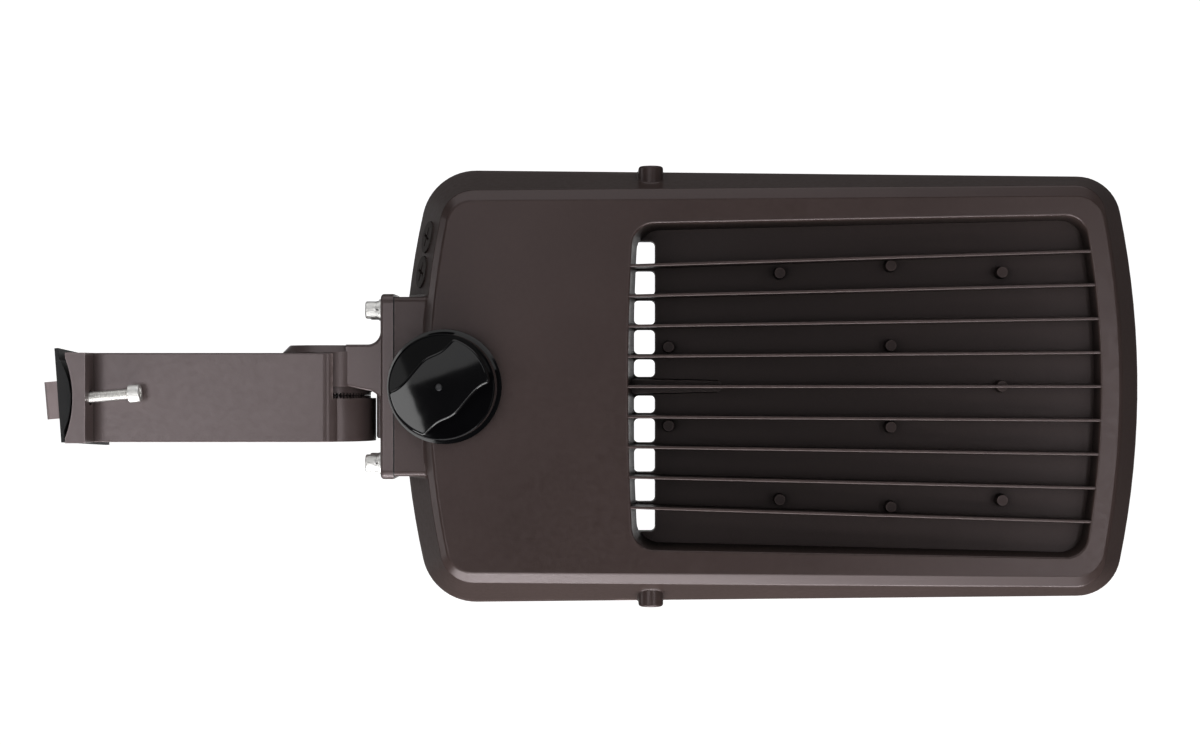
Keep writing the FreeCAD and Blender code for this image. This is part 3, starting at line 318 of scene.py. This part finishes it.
# The bar's third colour is its paler edge, partly rubbing and partly painted highlight; 8 is the reach of the
# painted shade
nodes["nut_bar"].data.materials[0] = powder_coat("bronze_bar", (0.170, 0.130, 0.128), (0.220, 0.172, 0.170),
                                                 (0.240, 0.200, 0.195), 0.75, 0.026, (0.28, 0.36), 0.66, 8)
nodes["cap_rivet"].data.materials[0] = metal_sheet("rivet_steel", (0.030, 0.030, 0.032), (0.070, 0.070, 0.074), 0.42)


def new_tree(name, inputs):
    """A geometry tree with a point cloud in, a mesh out and named sizes."""
    tree = bpy.data.node_groups.new(name, "GeometryNodeTree")
    tree.interface.new_socket("Geometry", in_out="INPUT", socket_type="NodeSocketGeometry")
    tree.interface.new_socket("Geometry", in_out="OUTPUT", socket_type="NodeSocketGeometry")
    for label, kind, value in inputs:
        socket = tree.interface.new_socket(label, in_out="INPUT", socket_type=kind)
        if value is not None:
            socket.default_value = value
    return tree, put(tree, "NodeGroupInput").outputs


def coated(tree, geometry, material):
    """Make the placed copies plain geometry and give them their finish."""
    realized = put(tree, "GeometryNodeRealizeInstances", {"Geometry": geometry}).outputs[0]
    return put(tree, "GeometryNodeSetMaterial", {"Geometry": realized, "Material": material}).outputs[0]


def stand_on_points(tree, given, shape):
    """Put one copy of a shape on each point, turned to the axis, and end the tree."""
    turned = put(tree, "FunctionNodeAlignRotationToVector", {"Vector": given["Axis"]}, axis="Z")
    placed = put(tree, "GeometryNodeInstanceOnPoints", {
        "Points": given["Geometry"], "Instance": shape, "Rotation": turned.outputs[0]})
    put(tree, "NodeGroupOutput", {"Geometry": coated(tree, placed.outputs[0], given["Finish"])})


def from_tree(name, tree, points, values, body, stands_for):
    """Run a tree on a cloud of points, bake the result and let it ride on its body in place of CAD nodes."""
    mesh = bpy.data.meshes.new(name + "_places")
    mesh.from_pydata([tuple(p * mm) for p in points], [], [])
    holder = bpy.data.objects.new(name + "_places", mesh)
    bpy.context.scene.collection.objects.link(holder)
    modifier = holder.modifiers.new(name, "NODES")
    modifier.node_group = tree
    named = {item.name: item.identifier for item in tree.interface.items_tree if item.in_out == "INPUT"}
    for label, value in values.items():
        modifier[named[label]] = value
    graph = bpy.context.evaluated_depsgraph_get()
    baked = bpy.data.meshes.new_from_object(holder.evaluated_get(graph), depsgraph=graph)
    bpy.data.objects.remove(holder)
    baked.name = name
    baked.shade_smooth()
    baked.set_sharp_from_angle(angle=sharp_angle)
    piece = bpy.data.objects.new(name, baked)
    bpy.context.scene.collection.objects.link(piece)
    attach(piece, body)
    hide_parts(*stands_for)


def socket_bolt_tree():
    """Socket-head bolt: knurled and chamfered head, hexagon socket and a rolled thread."""
    tree, given = new_tree("socket_bolt", [
        ("Head radius", number, 6.5 * mm), ("Head height", number, 8 * mm), ("Chamfer", number, 0.7 * mm),
        ("Knurl depth", number, 0.12 * mm), ("Knurl count", number, 48.0), ("Socket", number, 3.93 * mm),
        ("Shank radius", number, 4 * mm), ("Shank length", number, bracket_shank * mm), ("Pitch", number, 1.25 * mm),
        ("Thread depth", number, 0.62 * mm), ("Axis", "NodeSocketVector", (0, 0, 1)),
        ("Finish", "NodeSocketMaterial", None)])

    def polar():
        """A point's place, and its radius, angle and level about the axis."""
        here = put(tree, "GeometryNodeInputPosition").outputs[0]
        part = put(tree, "ShaderNodeSeparateXYZ", {0: here}).outputs
        square = calc(tree, "ADD", calc(tree, "POWER", part[0], 2), calc(tree, "POWER", part[1], 2))
        return here, calc(tree, "POWER", square, 0.5), calc(tree, "ARCTAN2", part[1], part[0]), part[2]

    def pull_in(geometry, here, radius, amount):
        """Move points towards the axis."""
        share = calc(tree, "DIVIDE", calc(tree, "SUBTRACT", radius, amount), calc(tree, "MAXIMUM", radius, 1e-6))
        both = put(tree, "ShaderNodeCombineXYZ", {0: share, 1: share, 2: 1.0})
        moved = put(tree, "ShaderNodeVectorMath", {0: here, 1: both.outputs[0]}, operation="MULTIPLY")
        return put(tree, "GeometryNodeSetPosition", {"Geometry": geometry, "Position": moved.outputs[0]}).outputs[0]

    def lift(geometry, height):
        """Move a shape along the axis."""
        shift = put(tree, "ShaderNodeCombineXYZ", {2: height})
        return put(tree, "GeometryNodeTransform", {"Geometry": geometry, "Translation": shift.outputs[0]}).outputs[0]

    head = put(tree, "GeometryNodeMeshCylinder", {
        "Vertices": 192, "Side Segments": 24, "Radius": given["Head radius"], "Depth": given["Head height"]})
    head = lift(head.outputs["Mesh"], calc(tree, "MULTIPLY", given["Head height"], 0.5))
    here, radius, angle, level = polar()
    edge = calc(tree, "SUBTRACT", level, calc(tree, "SUBTRACT", given["Head height"], given["Chamfer"]))
    chamfer = calc(tree, "MULTIPLY", calc(tree, "MAXIMUM", edge, 0.0), 0.8)
    per_radian = calc(tree, "DIVIDE", given["Knurl count"], math.pi)
    wave = calc(tree, "PINGPONG", calc(tree, "MULTIPLY", angle, per_radian), 1.0)
    low = spread(tree, level, 0.9 * mm, 1.4 * mm, 0, 1)
    high = calc(tree, "SUBTRACT", calc(tree, "MULTIPLY", given["Head height"], 0.80), level)
    band = calc(tree, "MULTIPLY", low, spread(tree, high, 0.0, 0.4 * mm, 0, 1))
    rim = calc(tree, "GREATER_THAN", radius, calc(tree, "MULTIPLY", given["Head radius"], 0.98))
    rim_depth = calc(tree, "MULTIPLY", given["Knurl depth"], rim)
    knurl = calc(tree, "MULTIPLY", calc(tree, "MULTIPLY", wave, band), rim_depth)
    head = pull_in(head, here, radius, calc(tree, "ADD", calc(tree, "MULTIPLY", chamfer, rim), knurl))
    socket = put(tree, "GeometryNodeMeshCylinder", {
        "Vertices": 6, "Radius": given["Socket"], "Depth": given["Head height"]}).outputs["Mesh"]
    head = put(tree, "GeometryNodeMeshBoolean", {
        "Mesh 1": head, "Mesh 2": lift(socket, calc(tree, "MULTIPLY", given["Head height"], 0.95))},
        operation="DIFFERENCE", solver="EXACT").outputs["Mesh"]
    steps_per_turn = 8.0
    steps = calc(tree, "MULTIPLY", calc(tree, "DIVIDE", given["Shank length"], given["Pitch"]), steps_per_turn)
    shank = put(tree, "GeometryNodeMeshCylinder", {
        "Vertices": 32, "Side Segments": steps, "Radius": given["Shank radius"], "Depth": given["Shank length"]})
    shank = lift(shank.outputs["Mesh"], calc(tree, "MULTIPLY", given["Shank length"], -0.5))
    here, radius, angle, level = polar()
    around = calc(tree, "DIVIDE", angle, 2 * math.pi)
    turn = calc(tree, "SUBTRACT", calc(tree, "DIVIDE", level, given["Pitch"]), around)
    flank = calc(tree, "PINGPONG", calc(tree, "MULTIPLY", turn, 2.0), 1.0)
    groove = calc(tree, "MULTIPLY", spread(tree, flank, 0.12, 0.85, 0, 1), given["Thread depth"])
    shank = pull_in(shank, here, radius, groove)
    bolt = put(tree, "GeometryNodeJoinGeometry")
    tree.links.new(head, bolt.inputs[0])
    tree.links.new(shank, bolt.inputs[0])
    stand_on_points(tree, given, bolt.outputs[0])
    return tree


def spring_washer_tree():
    """Split spring washer: one turn of square wire whose ends stand apart."""
    tree, given = new_tree("spring_washer", [
        ("Ring radius", number, 5.5 * mm), ("Wire width", number, 2.6 * mm), ("Wire height", number, 1.9 * mm),
        ("Spring", number, 0.16 * mm), ("Axis", "NodeSocketVector", (0, 0, 1)),
        ("Finish", "NodeSocketMaterial", None)])
    arc = put(tree, "GeometryNodeCurveArc", {
        "Resolution": 72, "Radius": given["Ring radius"], "Start Angle": math.radians(5),
        "Sweep Angle": math.radians(350)})
    along = put(tree, "GeometryNodeSplineParameter").outputs["Factor"]
    height = calc(tree, "MULTIPLY", calc(tree, "SUBTRACT", along, 0.5), given["Spring"])
    rise = put(tree, "ShaderNodeCombineXYZ", {2: height})
    arc = put(tree, "GeometryNodeSetPosition", {"Geometry": arc.outputs["Curve"], "Offset": rise.outputs[0]})
    wire = put(tree, "GeometryNodeCurvePrimitiveQuadrilateral", {
        "Width": given["Wire width"], "Height": given["Wire height"]})
    wire = put(tree, "GeometryNodeFilletCurve", {
        "Curve": wire.outputs[0], "Radius": 0.25 * mm, "Count": 3}, mode="POLY")
    ring = put(tree, "GeometryNodeCurveToMesh", {
        "Curve": arc.outputs[0], "Profile Curve": wire.outputs[0], "Fill Caps": True})
    stand_on_points(tree, given, ring.outputs[0])
    return tree


def led_tree():
    """LED package: a square ceramic base with a low dome of phosphor on its lower side."""
    tree, given = new_tree("led_package", [
        ("Base side", number, 3.2 * mm), ("Base height", number, 0.35 * mm), ("Dome radius", number, 1.35 * mm),
        ("Dome height", number, 0.42 * mm), ("Base finish", "NodeSocketMaterial", None),
        ("Dome finish", "NodeSocketMaterial", None)])
    side = put(tree, "ShaderNodeCombineXYZ", {0: given["Base side"], 1: given["Base side"], 2: given["Base height"]})
    base = put(tree, "GeometryNodeMeshCube", {"Size": side.outputs[0]}).outputs["Mesh"]
    drop = put(tree, "ShaderNodeCombineXYZ", {2: calc(tree, "MULTIPLY", given["Base height"], -0.5)})
    base = put(tree, "GeometryNodeTransform", {"Geometry": base, "Translation": drop.outputs[0]}).outputs[0]
    dome = put(tree, "GeometryNodeMeshUVSphere", {
        "Segments": 16, "Rings": 8, "Radius": given["Dome radius"]}).outputs["Mesh"]
    squash = calc(tree, "DIVIDE", given["Dome height"], given["Dome radius"])
    flat = put(tree, "ShaderNodeCombineXYZ", {0: 1.0, 1: 1.0, 2: squash})
    sunk = put(tree, "ShaderNodeCombineXYZ", {2: calc(tree, "MULTIPLY", given["Base height"], -1.0)})
    dome = put(tree, "GeometryNodeTransform", {
        "Geometry": dome, "Scale": flat.outputs[0], "Translation": sunk.outputs[0]}).outputs[0]
    package = put(tree, "GeometryNodeJoinGeometry")
    for shape, skin in ((base, "Base finish"), (dome, "Dome finish")):
        placed = put(tree, "GeometryNodeInstanceOnPoints", {"Points": given["Geometry"], "Instance": shape})
        tree.links.new(coated(tree, placed.outputs[0], given[skin]), package.inputs[0])
    put(tree, "NodeGroupOutput", {"Geometry": package.outputs[0]})
    return tree


bolts = socket_bolt_tree()
steel = finishes["stainless"]
kit_axis = Vector((math.cos(kit_yaw), math.sin(kit_yaw), 0))
pole_seats = [clamp_middle + kit_axis * pole_bolt_seat + Vector((0, 0, z)) for z in (-pole_bolt_z, pole_bolt_z)]
from_tree("pole_bolts_threaded", bolts, pole_seats,
          {"Axis": kit_axis, "Shank length": pole_shank * mm, "Finish": steel}, "clamp", ["pole_bolts"])
stack = Vector((-(flat_washer + spring_washer), 0, 0))
bolt_seats = [Vector((bracket_plate_x, y, z)) for y in bracket_bolt_ys for z in bracket_bolt_zs]
from_tree("bracket_bolts_knurled", bolts, [seat + stack for seat in bolt_seats],
          {"Axis": (-1, 0, 0), "Shank length": bracket_shank * mm, "Finish": steel},
          "head", ["bracket_bolts"])
springs = [seat - Vector((flat_washer + spring_washer / 2, 0, 0)) for seat in bolt_seats]
from_tree("bracket_springs_split", spring_washer_tree(), springs, {"Axis": (-1, 0, 0), "Finish": steel},
          "head", ["bracket_spring_washers"])
led_places = [led_first + Vector((led_pitch_x * column, led_pitch_y * row, 0))
              for column in range(led_columns) for row in range(led_rows)]
from_tree("led_packages", led_tree(), led_places, {"Base finish": ceramic, "Dome finish": finishes["led_phosphor"]},
          "head", ["leds"])


def studio_floor():
    """Pale floor that the camera sees white, and that gloss and glass mirror as a white pool below the object."""
    material, tree, shader, place = finish("studio_floor", Roughness=0.9)
    speck = grain(tree, place, 60, 3)
    tree.links.new(blend_colour(tree, speck, (0.44, 0.44, 0.44), (0.48, 0.48, 0.48)), shader.inputs["Base Color"])
    centred = put(tree, "ShaderNodeMapping", {"Vector": place, "Location": (-photo_x, -photo_y, 0.0)})
    part = put(tree, "ShaderNodeSeparateXYZ", {0: centred.outputs[0]}).outputs
    reach = [calc(tree, "POWER", calc(tree, "ABSOLUTE", calc(tree, "DIVIDE", part[i], pool_half[i])), pool_square)
             for i in (0, 1)]
    pool = spread(tree, calc(tree, "ADD", reach[0], reach[1]), 1.0, pool_fade, 1, 0)
    light = put(tree, "ShaderNodeLightPath").outputs
    bounced = calc(tree, "MAXIMUM", light["Is Glossy Ray"], light["Is Transmission Ray"])
    mirrored = calc(tree, "MULTIPLY", pool, bounced)
    strength = calc(tree, "MULTIPLY", calc(tree, "MAXIMUM", light["Is Camera Ray"], mirrored), floor_white)
    glow = put(tree, "ShaderNodeEmission", {"Color": (1, 1, 1, 1), "Strength": strength})
    both = put(tree, "ShaderNodeAddShader", {0: shader.outputs[0], 1: glow.outputs[0]})
    tree.links.new(both.outputs[0], tree.nodes["Material Output"].inputs["Surface"])
    mesh = bpy.data.meshes.new("studio_floor")
    corners = [(x * floor_half, y * floor_half, floor_level) for x, y in ((-1, -1), (1, -1), (1, 1), (-1, 1))]
    mesh.from_pydata(corners, [], [(0, 1, 2, 3)])
    mesh.materials.append(material)
    floor = bpy.data.objects.new("studio_floor", mesh)
    bpy.context.scene.collection.objects.link(floor)


def softbox(name, place, turn, width, height, brightness, mirrored=True):
    """Evenly lit panel in metres and degrees, out of the camera's sight and, unless mirrored, out of gloss too."""
    light = bpy.data.lights.new(name, "AREA")
    light.shape = "RECTANGLE"
    light.size, light.size_y = width, height
    light.energy = brightness * math.pi * width * height
    lamp = bpy.data.objects.new(name, light)
    bpy.context.scene.collection.objects.link(lamp)
    lamp.location = place
    lamp.rotation_euler = [math.radians(v) for v in turn]
    lamp.visible_camera = False
    lamp.visible_glossy = mirrored


def studio_world():
    """Studio surround: white to the camera, and for light pale at the horizon and dark overhead."""
    world = bpy.data.worlds.new("studio")
    bpy.context.scene.world = world
    world.use_nodes = True
    tree = world.node_tree
    where = put(tree, "ShaderNodeTexCoord").outputs["Generated"]
    height = put(tree, "ShaderNodeSeparateXYZ", {0: where}).outputs[2]
    horizon, overhead = 0.20, 0.04
    level = spread(tree, height, 0.05, 0.75, horizon, overhead)
    looking = put(tree, "ShaderNodeLightPath").outputs["Is Camera Ray"]
    seen = calc(tree, "MAXIMUM", level, calc(tree, "MULTIPLY", looking, surround_white))
    tree.links.new(seen, tree.nodes["Background"].inputs["Color"])


def photo_camera():
    """Straight down over the head, as the photograph was taken."""
    lens = bpy.data.cameras.new("photo_camera")
    lens.lens, lens.sensor_width, lens.sensor_fit = photo_lens, photo_sensor, "HORIZONTAL"
    camera = bpy.data.objects.new("photo_camera", lens)
    bpy.context.scene.collection.objects.link(camera)
    camera.location = (photo_x, photo_y, photo_height)
    bpy.context.scene.camera = camera


studio_floor()
studio_world()
softbox("overhead_left", (-0.672, -0.172, 2.2), (0, 0, 20), 0.55, 0.6, 5.0)
softbox("overhead_cap", (-0.202, -0.001, 2.2), (0, 0, 20), 0.45, 0.6, 3.2)
softbox("overhead_grip", (0.15, 0.15, 2.2), (0, 0, 20), 0.34, 0.22, 0.8)
softbox("overhead_back", (0.36, 0.55, 2.2), (0, 0, 20), 0.45, 0.9, 1.2)
softbox("overhead_right", (1.65, -0.25, 2.2), (0, 20, 0), 0.4, 1.0, 4.2)
softbox("high_front", (0.80, -1.35, 1.14), (52, 0, 0), 1.5, 1.25, 2.8)
softbox("back_wall", (0.40, 1.60, 0.60), (-70, 0, 0), 3.0, 1.8, 0.85)
softbox("front_wall", (0.35, -1.6, 0.20), (87, 0, 0), 2.4, 1.1, 4.0)
softbox("front_strip", (0.35, -1.55, 0.30), (80, 0, 0), 2.2, 0.06, 20.0)
softbox("floor_fill", (0.62, 0.0, -1.4), (180, 0, 0), 0.9, 0.9, 2.2, mirrored=False)
softbox("left_wall", (-1.5, -0.1, -0.10), (0, -90, 0), 0.4, 1.4, 2.0)
photo_camera()
bpy.context.scene.view_settings.view_transform = "Standard"
